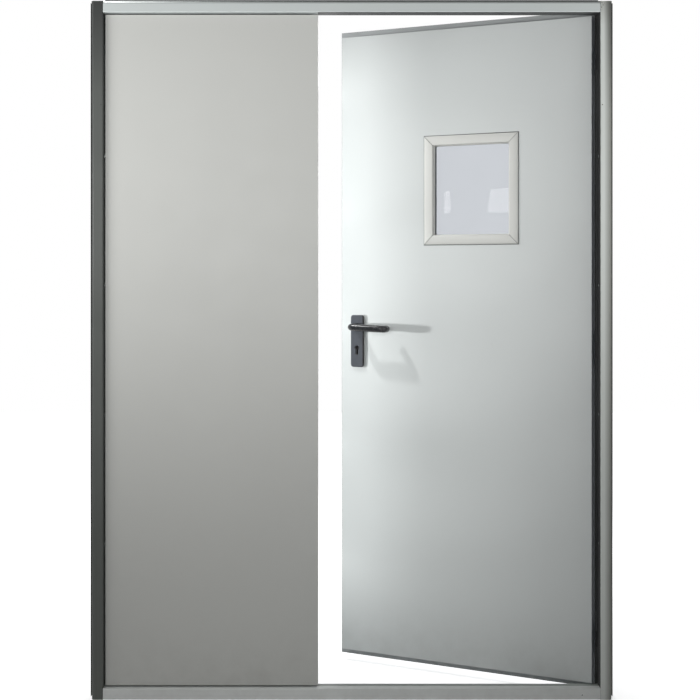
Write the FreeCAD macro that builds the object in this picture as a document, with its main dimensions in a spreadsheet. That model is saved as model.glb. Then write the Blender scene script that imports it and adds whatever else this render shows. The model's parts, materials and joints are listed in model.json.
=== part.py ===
import FreeCAD, Part
import os
import re
import Sketcher

# Steel utility door with two leaves in a four-sided frame of folded sheet.
# X runs along the wall, to the right as seen from the push side.
# Y runs through the wall, from the push side to the pull side, and Z is up.
# The origin is on the floor, at the middle of the sill's underside.
# The left leaf is shut, and the right leaf is drawn partly open, away from the push side.

SIZES = [
    ("overall_width", 1600, "outer edges of the jambs, push side"),
    ("overall_height", 2150, "floor to the head's outer edge, push side"),
    ("frame_depth", 50, "push face to pull face"),
    ("face_width", 35, "push face of each frame member"),
    ("wall_flange", 10, "reach of the pull face past the push face"),
    ("frame_sheet", 2, "sheet of the frame"),
    ("edge_bend", 6, "inner radius of the frame's outer bend"),
    ("corner_bend", 1.5, "inner radius of the frame's other bends"),
    ("return_lip", 14, "sheet turned back behind the outer bend"),
    ("fixing_radius", 5.5, "wall fixing hole in a jamb"),
    ("fixing_pitch", 400, "from one fixing hole to the next"),
    ("fixing_height", 475, "lowest fixing hole above the floor"),
    ("fixing_inset", 30, "fixing hole behind the push face"),
    ("leaf_recess", 15.5, "push skin behind the frame's push face"),
    ("leaf_thickness", 42, "push skin to pull skin"),
    ("skin", 1, "sheet of the leaf"),
    ("lip_thickness", 2.5, "hemmed edge of the pull skin"),
    ("lip_overlap", 20, "pull skin over the frame's pull face"),
    ("leaf_gap", 5, "leaf to frame, all round"),
    ("meeting_line", -100.5, "middle of the gap between the leaves"),
    ("meeting_gap", 7, "gap between the leaves, push side"),
    ("rebate_gap", 6, "meeting lip to the step that it covers"),
    ("channel_height", 25, "edge channel of a leaf"),
    ("channel_sheet", 1.5, "sheet of the edge channels"),
    ("gasket_width", 10, "sealing strip"),
    ("gasket_inset", 3, "sealing strip from the frame's inner edge"),
    ("gasket_play", 0.3, "sealing strip to the lip that meets it"),
    ("window_middle", 363, "middle of the window from the door's middle"),
    ("window_drop", 526, "middle of the window below the leaf's top edge"),
    ("window_width", 320, "outer width of the glazing frame"),
    ("window_rise", 355, "outer height of the glazing frame"),
    ("bar_width", 30, "glazing bar"),
    ("bar_stand", 4, "glazing bar proud of the skin"),
    ("bar_cover", 15, "glazing bar over the skin, past the cut-out"),
    ("pane_thickness", 20, "glass"),
    ("backset", 59, "leaf edge to the spindle"),
    ("spindle_height", 1133, "lever spindle above the floor"),
    ("lock_distance", 72, "spindle down to the cylinder hole"),
    ("plate_width", 46, "handle plate"),
    ("plate_rise", 175, "handle plate"),
    ("plate_above", 39, "top of the plate above the spindle"),
    ("plate_thickness", 9, "handle plate"),
    ("plate_corner", 9, "corner radius of the plate"),
    ("plate_edge", 2, "bevel of the plate's front edge"),
    ("cylinder_radius", 8.5, "round part of the cylinder hole"),
    ("cylinder_stem", 5, "half the width of the cylinder hole's stem"),
    ("cylinder_drop", 19.5, "round part down to the stem's end centre"),
    ("lever_radius", 11.5, "lever bar"),
    ("lever_stand", 64, "lever bar's centre from the skin"),
    ("lever_length", 120, "spindle to the centre of the lever's end"),
    ("lever_bend", 13, "bend radius of the lever"),
    ("lever_return", 20, "straight end turned back to the leaf"),
    ("lever_bevel", 3, "bevel of the lever's end"),
    ("lever_droop", 2.2, "lever below level, in degrees"),
    ("lever_play", 0.5, "lever neck in its plate"),
    ("spindle_side", 8, "square spindle"),
    ("follower_radius", 6.2, "hole in the lock case for the spindle"),
    ("forend_width", 24, "lock face on the leaf's edge"),
    ("forend_rise", 235, "lock face"),
    ("forend_sheet", 3, "lock face"),
    ("forend_drop", 36, "middle of the lock face below the spindle"),
    ("case_width", 16, "lock case"),
    ("case_depth", 92, "lock case"),
    ("case_rise", 168, "lock case"),
    ("bolt_width", 12, "latch and dead bolt"),
    ("latch_rise", 30, "latch"),
    ("deadbolt_rise", 34, "dead bolt"),
    ("deadbolt_drop", 44, "dead bolt's middle below the spindle"),
    ("bolt_length", 30, "latch and dead bolt"),
    ("bolt_proud", 1, "latch and dead bolt past the lock face"),
    ("strike_rise", 190, "strike plate"),
    ("bolt_play", 3, "hole in the strike plate round a thrown bolt"),
    ("bolt_pocket", 25, "depth of the hollow that a thrown bolt enters"),
    ("flush_width", 19, "flush bolt face"),
    ("flush_rise", 170, "flush bolt face"),
    ("flush_inset", 60, "flush bolt face from the leaf's end"),
    ("flush_sheet", 2, "strike plate and flush bolt faces"),
    ("flush_body", 12, "flush bolt behind its face"),
    ("flush_slot", 9, "slot in the flush bolt's face"),
    ("flush_slot_rise", 70, "slot in the flush bolt's face"),
    ("flush_play", 0.8, "small lever in its slot"),
    ("flush_notch", 12, "slot left free under the small lever's end"),
    ("barrel_radius", 8, "hinge barrel"),
    ("barrel_height", 103, "hinge barrel with its cap"),
    ("barrel_inset", 12.5, "hinge axis from the frame's outer flange"),
    ("barrel_stand", 10, "hinge axis from the frame's pull face"),
    ("pin_radius", 5, "hinge pin"),
    ("pin_play", 0.1, "pin in the leaf's knuckle"),
    ("cap_height", 10.5, "hinge cap"),
    ("top_knuckle", 20.5, "upper frame knuckle"),
    ("low_knuckle", 22.5, "lower frame knuckle"),
    ("knuckle_gap", 0.6, "between two knuckles"),
    ("barrel_chamfer", 1.2, "ends of the hinge barrel"),
    ("foot_thickness", 6, "foot that carries a frame knuckle"),
    ("wing_thickness", 2.5, "hinge wing on the leaf's edge"),
    ("wing_depth", 34, "hinge wing along the leaf's edge"),
    ("wing_rise", 96, "hinge wing"),
    ("hinge_inset", 172, "middle of the end hinges from the floor and the head"),
    ("open_angle", 25, "right leaf as drawn, in degrees from shut"),
]

doc = FreeCAD.newDocument("steel_utility_door")
sheet = doc.addObject("Spreadsheet::Sheet", "Sizes")
for row, (alias, amount, meaning) in enumerate(SIZES, start=1):
    sheet.set("A%d" % row, alias)
    sheet.set("B%d" % row, str(amount))
    sheet.set("C%d" % row, meaning)
    sheet.setAlias("B%d" % row, alias)
doc.recompute()

ALIASES = {alias for alias, amount, meaning in SIZES}
PARTS = {}


def bound(text):
    """Point each size name in an expression at the sheet."""
    return re.sub(r"[a-z_]+", lambda word: "Sizes." + word[0] if word[0] in ALIASES else word[0], text)


def value(text):
    """The number that an expression of size names stands for now."""
    return float(sheet.evalExpression(bound(text)))


def keep(name, piece):
    """Name a finished sub-part."""
    piece.Label = name
    PARTS[name] = piece
    return piece


# Places shared by several pieces, as expressions of the sizes.
FRAME_PUSH = "(-frame_depth / 2)"
FRAME_PULL = "(frame_depth / 2)"
OUTER = "(overall_width / 2)"
INNER = "(overall_width / 2 - face_width)"
SILL_TOP = "face_width"
HEAD_UNDER = "(overall_height - face_width)"
LEAF_SIDE = "(overall_width / 2 - face_width - leaf_gap)"
LEAF_LOW = "(face_width + leaf_gap)"
LEAF_HIGH = "(overall_height - face_width - leaf_gap)"
LEAF_PUSH = "(leaf_recess - frame_depth / 2)"
LEAF_PULL = "(leaf_recess - frame_depth / 2 + leaf_thickness)"
LEAF_MIDDLE = "(leaf_recess - frame_depth / 2 + leaf_thickness / 2)"
WINDOW_HEIGHT = "(overall_height - face_width - leaf_gap - window_drop)"
LIP_UNDER = "(leaf_recess - frame_depth / 2 + leaf_thickness - lip_thickness)"
LIP_SIDE = "(overall_width / 2 - face_width + lip_overlap)"
LIP_LOW = "(face_width - lip_overlap)"
LIP_HIGH = "(overall_height - face_width + lip_overlap)"
ACTIVE_EDGE = "(meeting_line + meeting_gap / 2)"
INACTIVE_EDGE = "(meeting_line - meeting_gap / 2)"
MEETING_LIP = "(meeting_line + meeting_gap / 2 - lip_overlap)"
STEP_SIDE = "(meeting_line + meeting_gap / 2 - lip_overlap - rebate_gap)"
STEP_MIDDLE = "(leaf_recess / 2)"
HINGE_SIDE = "(overall_width / 2 + wall_flange - barrel_inset)"
HINGE_DEPTH = "(frame_depth / 2 + barrel_stand)"
SPINDLE = "(meeting_line + meeting_gap / 2 + backset)"
CYLINDER_HEIGHT = "(spindle_height - lock_distance)"
FOREND_HEIGHT = "(spindle_height - forend_drop)"
DEADBOLT_HEIGHT = "(spindle_height - deadbolt_drop)"
FIXINGS_PER_JAMB = 4

# Beyond every piece, for tools that cut right through.
FAR = "(frame_depth * 2)"

# Two places closer than this are the same place.
CLOSE = 1e-3


def slab(low, high):
    """A box between two corners."""
    box = doc.addObject("Part::Box", "slab")
    for length, axis, near, far in zip(("Length", "Width", "Height"), "xyz", low, high):
        box.setExpression(length, bound("(%s) - (%s)" % (far, near)))
        box.setExpression(".Placement.Base." + axis, bound(near))
    return box


def crosswise_rod(across, up, radius, near=LEAF_PUSH + " - " + FAR, far=LEAF_PULL + " + " + FAR):
    """A round bar that runs through the door along Y."""
    rod = doc.addObject("Part::Cylinder", "rod")
    rod.Placement.Rotation = FreeCAD.Rotation(FreeCAD.Vector(1, 0, 0), -90)
    rod.setExpression("Radius", bound(radius))
    rod.setExpression("Height", bound("(%s) - (%s)" % (far, near)))
    for axis, place in zip("xyz", (across, near, up)):
        rod.setExpression(".Placement.Base." + axis, bound(place))
    return rod


def join(pieces):
    """Several solids as one."""
    fused = doc.addObject("Part::MultiFuse", "join")
    fused.Shapes = pieces
    fused.Refine = True
    return fused


def carve(base, tools):
    """A solid with each of the tools taken out of it."""
    for tool in tools:
        cut = doc.addObject("Part::Cut", "carve")
        cut.Base = base
        cut.Tool = tool
        base = cut
    return base


def new_body(name):
    return doc.addObject("PartDesign::Body", name)


def plane_sketch(body, role, offset="0"):
    """A sketch on one of the body's own planes, set off along the plane's normal."""
    sketch = body.newObject("Sketcher::SketchObject", body.Name + "_sketch")
    plane = next(item for item in body.Origin.OriginFeatures if item.Role == role)
    sketch.AttachmentSupport = [(plane, "")]
    sketch.MapMode = "FlatFace"
    sketch.setExpression(".AttachmentOffset.Base.z", bound(offset))
    return sketch


def pin_point(sketch, line, end, across, up):
    """Hold one end of a line at a place given by two expressions."""
    for kind, text in (("DistanceX", across), ("DistanceY", up)):
        rule = sketch.addConstraint(Sketcher.Constraint(kind, -1, 1, line, end, value(text)))
        sketch.setExpression("Constraints[%d]" % rule, bound(text))


def tie(sketch, curve, end, line, line_end):
    sketch.addConstraint(Sketcher.Constraint("Coincident", curve, end, line, line_end))


def trace(sketch, corners, closed=True):
    """Straight runs through the corners, square to each other where a corner has a bend radius."""
    spots = [FreeCAD.Vector(value(corner[0]), value(corner[1]), 0) for corner in corners]
    count = len(corners)
    arrive = []
    leave = []
    for index, corner in enumerate(corners):
        bent = len(corner) == 3 and (closed or 0 < index < count - 1)
        ends = []
        for toward in (spots[index - 1], spots[(index + 1) % count]):
            way = (toward - spots[index]).normalize() if bent else FreeCAD.Vector()
            texts = ["%s + (%s) * (%d)" % (place, corner[2], round(step)) if bent else place
                     for place, step in zip(corner[:2], (way.x, way.y))]
            ends.append(texts)
        arrive.append(ends[0])
        leave.append(ends[1])
    runs = count if closed else count - 1
    lines = []
    for index in range(runs):
        after = (index + 1) % count
        start = FreeCAD.Vector(value(leave[index][0]), value(leave[index][1]), 0)
        stop = FreeCAD.Vector(value(arrive[after][0]), value(arrive[after][1]), 0)
        lines.append(sketch.addGeometry(Part.LineSegment(start, stop)))
        pin_point(sketch, lines[index], 1, *leave[index])
    for index in range(runs):
        after = (index + 1) % count
        if leave[after] == arrive[after]:
            if closed or after < runs:
                tie(sketch, lines[index], 2, lines[after], 1)
            else:
                pin_point(sketch, lines[index], 2, *arrive[after])
            continue
        pin_point(sketch, lines[index], 2, *arrive[after])
        start = FreeCAD.Vector(value(arrive[after][0]), value(arrive[after][1]), 0)
        stop = FreeCAD.Vector(value(leave[after][0]), value(leave[after][1]), 0)
        centre = start + stop - spots[after]
        middle = centre + (spots[after] - centre).normalize() * value(corners[after][2])
        arc = sketch.addGeometry(Part.Arc(start, middle, stop))
        first = 1 if sketch.getPoint(arc, 1).isEqual(start, CLOSE) else 2
        tie(sketch, arc, first, lines[index], 2)
        tie(sketch, arc, 3 - first, lines[after], 1)
        rule = sketch.addConstraint(Sketcher.Constraint("Radius", arc, value(corners[after][2])))
        sketch.setExpression("Constraints[%d]" % rule, bound(corners[after][2]))


def pad(body, sketch, length, reverse=False):
    feature = body.newObject("PartDesign::Pad", body.Name + "_pad")
    feature.Profile = sketch
    feature.Reversed = reverse
    feature.setExpression("Length", bound(length))
    sketch.Visibility = False
    return feature


def bevel_edges(body, base, size, chosen):
    """Bevel the edges of the base feature that the test picks."""
    doc.recompute()
    names = ["Edge%d" % (index + 1) for index, edge in enumerate(base.Shape.Edges) if chosen(edge)]
    feature = body.newObject("PartDesign::Chamfer", body.Name + "_bevel")
    feature.Base = (base, names)
    feature.setExpression("Size", bound(size))
    return feature


def folded_frame_section(outer, inner, flange):
    """Section of the frame: two outer edges, one inner edge, and the sheet turned back at the wall."""
    way = "1" if value(outer) > value(inner) else "(-1)"
    thick = "frame_sheet * " + way
    edge = "edge_bend"
    bend = "corner_bend"
    push = FRAME_PUSH
    pull = FRAME_PULL
    outside = [
        (outer, push + " + return_lip"),
        (outer, push, edge + " + frame_sheet"),
        (inner, push, bend + " + frame_sheet"),
        (inner, pull, bend + " + frame_sheet"),
        (flange, pull, bend + " + frame_sheet"),
        (flange, pull + " - return_lip"),
    ]
    inside = [
        (flange + " - " + thick, pull + " - return_lip"),
        (flange + " - " + thick, pull + " - frame_sheet", bend),
        (inner + " + " + thick, pull + " - frame_sheet", bend),
        (inner + " + " + thick, push + " + frame_sheet", bend),
        (outer + " - " + thick, push + " + frame_sheet", edge),
        (outer + " - " + thick, push + " + return_lip"),
    ]
    return outside + inside


def make_jamb(name, side):
    """An upright of the frame, with its pull face carried up past the head's push face."""
    body = new_body(name + "_section")
    sketch = plane_sketch(body, "XY_Plane")
    reach = [text + " * (%d)" % side for text in (OUTER, INNER, "(overall_width / 2 + wall_flange)")]
    trace(sketch, folded_frame_section(*reach))
    pad(body, sketch, "overall_height + wall_flange")
    step = slab(
        (OUTER + " * (%d) - face_width * 2" % side, FRAME_PUSH + " - frame_sheet", "overall_height"),
        (OUTER + " * (%d) + face_width * 2" % side, FRAME_PULL + " - frame_sheet",
         "overall_height + wall_flange * 2"))
    holes = []
    for number in range(FIXINGS_PER_JAMB):
        hole = doc.addObject("Part::Cylinder", "fixing_hole")
        hole.Placement.Rotation = FreeCAD.Rotation(FreeCAD.Vector(0, 1, 0), 90)
        hole.setExpression("Radius", bound("fixing_radius"))
        hole.setExpression("Height", bound("face_width / 2"))
        start = INNER + " * (%d) - face_width / 4" % side
        hole.setExpression(".Placement.Base.x", bound(start))
        hole.setExpression(".Placement.Base.y", bound(FRAME_PUSH + " + fixing_inset"))
        hole.setExpression(".Placement.Base.z", bound("fixing_height + fixing_pitch * %d" % number))
        holes.append(hole)
    return keep(name, carve(body, [step] + holes))


def make_head():
    """The frame's top member, which butts between the jambs."""
    body = new_body("head_section")
    sketch = plane_sketch(body, "YZ_Plane", "-" + INNER)
    section = folded_frame_section("overall_height", HEAD_UNDER, "(overall_height + wall_flange)")
    trace(sketch, [(corner[1], corner[0]) + corner[2:] for corner in section])
    pad(body, sketch, INNER + " * 2")
    return keep("head", body)


def make_sill():
    """The frame's bottom member, a closed tube whose underside rests on the floor."""
    body = new_body("sill_section")
    sketch = plane_sketch(body, "YZ_Plane", "-" + INNER)
    bend = "corner_bend + frame_sheet"
    trace(sketch, [(FRAME_PUSH, "0", bend), (FRAME_PUSH, SILL_TOP, bend),
                   (FRAME_PULL, SILL_TOP, bend), (FRAME_PULL, "0", bend)])
    thick = "frame_sheet"
    near = FRAME_PUSH + " + " + thick
    far = FRAME_PULL + " - " + thick
    top = SILL_TOP + " - " + thick
    trace(sketch, [(near, thick), (near, top), (far, top), (far, thick)])
    pad(body, sketch, INNER + " * 2")
    return keep("sill", body)


def make_frame_gasket():
    """The sealing strip on the frame's pull face, under the lips of both leaves."""
    top = LIP_UNDER + " - gasket_play"
    near = "gasket_inset"
    far = "(gasket_inset + gasket_width)"
    whole = slab(("-%s - %s" % (INNER, far), FRAME_PULL, SILL_TOP + " - " + far),
                 (INNER + " + " + far, top, HEAD_UNDER + " + " + far))
    hole = slab(("-%s - %s" % (INNER, near), FRAME_PUSH, SILL_TOP + " - " + near),
                (INNER + " + " + near, FAR, HEAD_UNDER + " + " + near))
    return keep("frame_gasket", carve(whole, [hole]))


def make_hinge(name, side, height):
    """One hinge: the frame's knuckles with their pin, the leaf's knuckle with its wing, and that wing."""
    middle = "(barrel_height - cap_height - top_knuckle - low_knuckle)"
    low = "(-barrel_height / 2 + low_knuckle)"
    high = "(-barrel_height / 2 + low_knuckle + %s)" % middle
    neck = "(-barrel_height / 2 + low_knuckle + %s + top_knuckle)" % middle
    pin = new_body(name + "_pin")
    sketch = plane_sketch(pin, "XZ_Plane")
    trace(sketch, [
        ("0", "-barrel_height / 2"),
        ("barrel_radius - barrel_chamfer", "-barrel_height / 2"),
        ("barrel_radius", "-barrel_height / 2 + barrel_chamfer"),
        ("barrel_radius", low),
        ("pin_radius", low),
        ("pin_radius", high),
        ("barrel_radius", high),
        ("barrel_radius", "barrel_height / 2 - barrel_chamfer"),
        ("barrel_radius - barrel_chamfer", "barrel_height / 2"),
        ("0", "barrel_height / 2"),
    ])
    turn = pin.newObject("PartDesign::Revolution", pin.Name + "_turn")
    turn.Profile = sketch
    turn.ReferenceAxis = (sketch, ["V_Axis"])
    turn.Angle = 360
    across = HINGE_SIDE + " * (%d)" % side
    for axis, place in zip("xyz", (across, HINGE_DEPTH, height)):
        pin.setExpression(".Placement.Base." + axis, bound(place))
    feet = [slab((across + " - foot_thickness / 2", FRAME_PULL, height + " + " + base),
                 (across + " + foot_thickness / 2", HINGE_DEPTH, height + " + " + top))
            for base, top in (("(-barrel_height / 2)", low), (high, neck))]
    frame_side = join([pin] + feet)

    ring = new_body(name + "_ring")
    sketch = plane_sketch(ring, "XZ_Plane")
    trace(sketch, [("pin_radius + pin_play", low + " + knuckle_gap"),
                   ("barrel_radius", low + " + knuckle_gap"),
                   ("barrel_radius", high + " - knuckle_gap"),
                   ("pin_radius + pin_play", high + " - knuckle_gap")])
    turn = ring.newObject("PartDesign::Revolution", ring.Name + "_turn")
    turn.Profile = sketch
    turn.ReferenceAxis = (sketch, ["V_Axis"])
    turn.Angle = 360
    for axis, place in zip("xyz", (across, HINGE_DEPTH, height)):
        ring.setExpression(".Placement.Base." + axis, bound(place))
    edges = [LEAF_SIDE + " - wing_thickness", HINGE_SIDE + " - pin_radius - pin_play"]
    if side < 0:
        edges = ["-(%s)" % edge for edge in reversed(edges)]
    arm = slab((edges[0], LIP_UNDER, height + " + " + low + " + knuckle_gap"),
               (edges[1], LEAF_PULL, height + " + " + high + " - knuckle_gap"))
    edges = [LEAF_SIDE + " - wing_thickness", LEAF_SIDE]
    if side < 0:
        edges = ["-(%s)" % edge for edge in reversed(edges)]
    wing = slab((edges[0], LEAF_PULL + " - lip_thickness - wing_depth", height + " - wing_rise / 2"),
                (edges[1], LIP_UNDER, height + " + wing_rise / 2"))
    bore = doc.addObject("Part::Cylinder", "bore")
    bore.setExpression("Radius", bound("pin_radius + pin_play"))
    bore.setExpression("Height", bound("barrel_height"))
    for axis, place in zip("xyz", (across, HINGE_DEPTH, height + " - barrel_height / 2")):
        bore.setExpression(".Placement.Base." + axis, bound(place))
    plate = join([arm, wing])
    leaf_side = carve(join([ring, plate]), [bore])
    return frame_side, leaf_side, plate


def make_hinges(name, side):
    """The hinges of one leaf. Their plates are returned, to cut the leaf's edge with."""
    heights = ("hinge_inset", "overall_height / 2", "(overall_height - hinge_inset)")
    hinges = [make_hinge(name, side, height) for height in heights]
    frame_sides, leaf_sides, plates = zip(*hinges)
    keep(name + "_frame_side", join(list(frame_sides)))
    keep(name + "_leaf_side", join(list(leaf_sides)))
    return list(plates)


def leaf_tray(low_edge, high_edge, pull):
    """A leaf's push skin with its folded edges, open towards the pull side."""
    outside = slab((low_edge, LEAF_PUSH, LEAF_LOW), (high_edge, pull + " - skin", LEAF_HIGH))
    inside = slab((low_edge + " + skin", LEAF_PUSH + " + skin", LEAF_LOW + " - skin"),
                  (high_edge + " - skin", FAR, LEAF_HIGH + " + skin"))
    return carve(outside, [inside])


def leaf_cover(low_lip, high_lip, low_edge, high_edge):
    """A leaf's pull skin, with thicker lips where it passes the tray."""
    outside = slab((low_lip, LIP_UNDER, LIP_LOW), (high_lip, LEAF_PULL, LIP_HIGH))
    inside = slab((low_edge, FRAME_PULL, LEAF_LOW), (high_edge, LEAF_PULL + " - skin", LEAF_HIGH))
    return carve(outside, [inside])


def leaf_core(low_edge, high_edge, pull):
    """The filling between a leaf's skins and its two channels."""
    return slab((low_edge + " + skin", LEAF_PUSH + " + skin", LEAF_LOW + " + channel_height"),
                (high_edge + " - skin", pull + " - skin", LEAF_HIGH + " - channel_height"))


def make_channels(name, stretches):
    """The folded channels along a leaf's bottom and top edges, both open downwards or upwards."""
    for place, base, top, way in (
            ("bottom", LEAF_LOW, LEAF_LOW + " + channel_height", -1),
            ("top", LEAF_HIGH + " - channel_height", LEAF_HIGH, 1)):
        blocks = []
        hollows = []
        for low_edge, high_edge, pull in stretches:
            blocks.append(slab((low_edge + " + skin", LEAF_PUSH + " + skin", base),
                               (high_edge + " - skin", pull + " - skin", top)))
            shift = " + channel_sheet * (%d)" % way
            inward = " + (skin + channel_sheet)"
            back = " - (skin + channel_sheet)"
            hollows.append(slab((low_edge + inward, LEAF_PUSH + inward, base + shift),
                                (high_edge + back, pull + back, top + shift)))
        block = join(blocks) if len(blocks) > 1 else blocks[0]
        keep("%s_%s_channel" % (name, place), carve(block, hollows))


def window_box(trim, push, pull):
    """A box round the window's middle, its outer size reduced by the trim on each side."""
    half_width = "(window_width / 2 - (%s))" % trim
    half_rise = "(window_rise / 2 - (%s))" % trim
    return slab(("window_middle - " + half_width, push, WINDOW_HEIGHT + " - " + half_rise),
                ("window_middle + " + half_width, pull, WINDOW_HEIGHT + " + " + half_rise))


def cylinder_hole():
    """The key cylinder's profile, cut right through the lock side of the leaf."""
    stem_low = CYLINDER_HEIGHT + " - cylinder_drop"
    return join([
        crosswise_rod(SPINDLE, CYLINDER_HEIGHT, "cylinder_radius"),
        slab((SPINDLE + " - cylinder_stem", LEAF_PUSH + " - " + FAR, stem_low),
             (SPINDLE + " + cylinder_stem", LEAF_PULL + " + " + FAR, CYLINDER_HEIGHT)),
        crosswise_rod(SPINDLE, stem_low, "cylinder_stem"),
    ])


def make_plate(name, face, outward):
    """A handle plate with round corners, holed for the lever's neck and the key cylinder."""
    body = new_body(name + "_blank")
    sketch = plane_sketch(body, "XZ_Plane", "-" + face)
    left = SPINDLE + " - plate_width / 2"
    right = SPINDLE + " + plate_width / 2"
    top = "spindle_height + plate_above"
    base = "spindle_height + plate_above - plate_rise"
    trace(sketch, [(left, base, "plate_corner"), (left, top, "plate_corner"),
                   (right, top, "plate_corner"), (right, base, "plate_corner")])
    block = pad(body, sketch, "plate_thickness", reverse=outward > 0)
    front = value(face) + outward * value("plate_thickness")
    bevel_edges(body, block, "plate_edge",
                lambda edge: all(abs(point.Point.y - front) < CLOSE for point in edge.Vertexes))
    return body


def make_lever(name, face, outward):
    """A round lever that leaves its plate, runs towards the hinges and turns back to the leaf."""
    body = new_body(name + "_bar")
    spine = plane_sketch(body, "XY_Plane", "spindle_height")
    root = "(%s)" % face
    stand = "(%s + lever_stand * (%d))" % (face, outward)
    end = SPINDLE + " + lever_length"
    turned = "(%s + (lever_stand - lever_bend - lever_return) * (%d))" % (face, outward)
    trace(spine, [(SPINDLE, root), (SPINDLE, stand, "lever_bend"), (end, stand, "lever_bend"),
                  (end, turned)], closed=False)
    ring = plane_sketch(body, "XZ_Plane", "-" + root)
    circle = ring.addGeometry(Part.Circle(FreeCAD.Vector(value(SPINDLE), value("spindle_height"), 0),
                                          FreeCAD.Vector(0, 0, 1), value("lever_radius")))
    rule = ring.addConstraint(Sketcher.Constraint("Radius", circle, value("lever_radius")))
    ring.setExpression("Constraints[%d]" % rule, bound("lever_radius"))
    pin_point(ring, circle, 3, SPINDLE, "spindle_height")
    bar = body.newObject("PartDesign::AdditivePipe", body.Name + "_pipe")
    bar.Profile = ring
    bar.Spine = (spine, ["Edge%d" % (index + 1) for index in range(spine.GeometryCount)])
    tip = value(turned)
    bevel_edges(body, bar, "lever_bevel",
                lambda edge: len(edge.Vertexes) < 3 and abs(edge.CenterOfMass.y - tip) < CLOSE)
    return keep(name, body)


make_jamb("jamb_left", -1)
make_jamb("jamb_right", 1)
make_head()
make_sill()
make_frame_gasket()

left_wings = make_hinges("left_hinges", -1)
right_wings = make_hinges("right_hinges", 1)

# The active leaf, on the right, drawn shut and swung open at the end.
forend_blank = slab(
    (ACTIVE_EDGE, LEAF_MIDDLE + " - forend_width / 2", FOREND_HEIGHT + " - forend_rise / 2"),
    (ACTIVE_EDGE + " + forend_sheet", LEAF_MIDDLE + " + forend_width / 2",
     FOREND_HEIGHT + " + forend_rise / 2"))
case_blank = slab(
    (ACTIVE_EDGE + " + forend_sheet", LEAF_MIDDLE + " - case_width / 2", FOREND_HEIGHT + " - case_rise / 2"),
    (ACTIVE_EDGE + " + forend_sheet + case_depth", LEAF_MIDDLE + " + case_width / 2",
     FOREND_HEIGHT + " + case_rise / 2"))


def lock_bolt(height, rise):
    """A bolt drawn back until it stands just past the lock face."""
    return slab(
        (ACTIVE_EDGE + " - bolt_proud", LEAF_MIDDLE + " - bolt_width / 2", "%s - %s / 2" % (height, rise)),
        (ACTIVE_EDGE + " - bolt_proud + bolt_length", LEAF_MIDDLE + " + bolt_width / 2",
         "%s + %s / 2" % (height, rise)))


bolt_slots = [lock_bolt("spindle_height", "latch_rise"), lock_bolt(DEADBOLT_HEIGHT, "deadbolt_rise")]
key_hole = cylinder_hole()
neck_hole = crosswise_rod(SPINDLE, "spindle_height", "lever_radius + lever_play")
follower_hole = crosswise_rod(SPINDLE, "spindle_height", "follower_radius")
cut_out = window_box("bar_cover", LEAF_PUSH + " - " + FAR, LEAF_PULL + " + " + FAR)

tray = leaf_tray(ACTIVE_EDGE, LEAF_SIDE, LEAF_PULL)
cover = leaf_cover(MEETING_LIP, LIP_SIDE, ACTIVE_EDGE, LEAF_SIDE)
core = leaf_core(ACTIVE_EDGE, LEAF_SIDE, LEAF_PULL)
keep("active_push_skin", carve(tray, [cut_out, key_hole, neck_hole, forend_blank] + right_wings))
keep("active_pull_skin", carve(cover, [cut_out, key_hole, neck_hole] + right_wings))
keep("active_core", carve(core, [cut_out, key_hole, neck_hole, forend_blank, case_blank] + right_wings))
make_channels("active", [(ACTIVE_EDGE, LEAF_SIDE, LEAF_PULL)])

pane_push = LEAF_MIDDLE + " - pane_thickness / 2"
pane_pull = LEAF_MIDDLE + " + pane_thickness / 2"
keep("window_pane", window_box("bar_cover + skin", pane_push, pane_pull))
for name, near, far, seat in (
        ("window_frame_push", LEAF_PUSH + " - bar_stand", pane_push, LEAF_PUSH),
        ("window_frame_pull", pane_pull, LEAF_PULL + " + bar_stand", LEAF_PULL)):
    pushed = name.endswith("push")
    rim = window_box("0", near if pushed else seat, seat if pushed else far)
    bead = window_box("bar_cover + skin", near, far)
    light = window_box("bar_width", near + " - skin", far + " + skin")
    keep(name, carve(join([rim, bead]), [light]))

keep("handle_plate_push", carve(make_plate("plate_push", LEAF_PUSH, -1), [key_hole, neck_hole]))
keep("handle_plate_pull", carve(make_plate("plate_pull", LEAF_PULL, 1), [key_hole, neck_hole]))
make_lever("lever_push", LEAF_PUSH, -1)
make_lever("lever_pull", LEAF_PULL, 1)
half = "spindle_side / 2"
keep("spindle", slab((SPINDLE + " - " + half, LEAF_PUSH, "spindle_height - " + half),
                     (SPINDLE + " + " + half, LEAF_PULL, "spindle_height + " + half)))
keep("lock_forend", carve(forend_blank, bolt_slots))
keep("lock_case", carve(case_blank, bolt_slots + [key_hole, follower_hole]))
keep("latch", lock_bolt("spindle_height", "latch_rise"))
keep("dead_bolt", lock_bolt(DEADBOLT_HEIGHT, "deadbolt_rise"))

# The inactive leaf, on the left, stepped under the active leaf's meeting lip.
LEFT_SIDE = "(-%s)" % LEAF_SIDE


def bolt_way(height, rise):
    """The hollow behind the strike plate that a thrown bolt enters."""
    half_width = "(bolt_width / 2 + bolt_play)"
    half_rise = "(%s / 2 + bolt_play)" % rise
    return slab(
        (INACTIVE_EDGE + " - bolt_pocket", LEAF_MIDDLE + " - " + half_width, height + " - " + half_rise),
        (INACTIVE_EDGE + " + skin", LEAF_MIDDLE + " + " + half_width, height + " + " + half_rise))


def edge_block(deep, shallow, middle, half_width, low, high):
    """A box let into the inactive leaf's edge, between two depths from that edge."""
    return slab((INACTIVE_EDGE + " - (%s)" % deep, middle + " - " + half_width, low),
                (INACTIVE_EDGE + " - (%s)" % shallow, middle + " + " + half_width, high))


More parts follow.
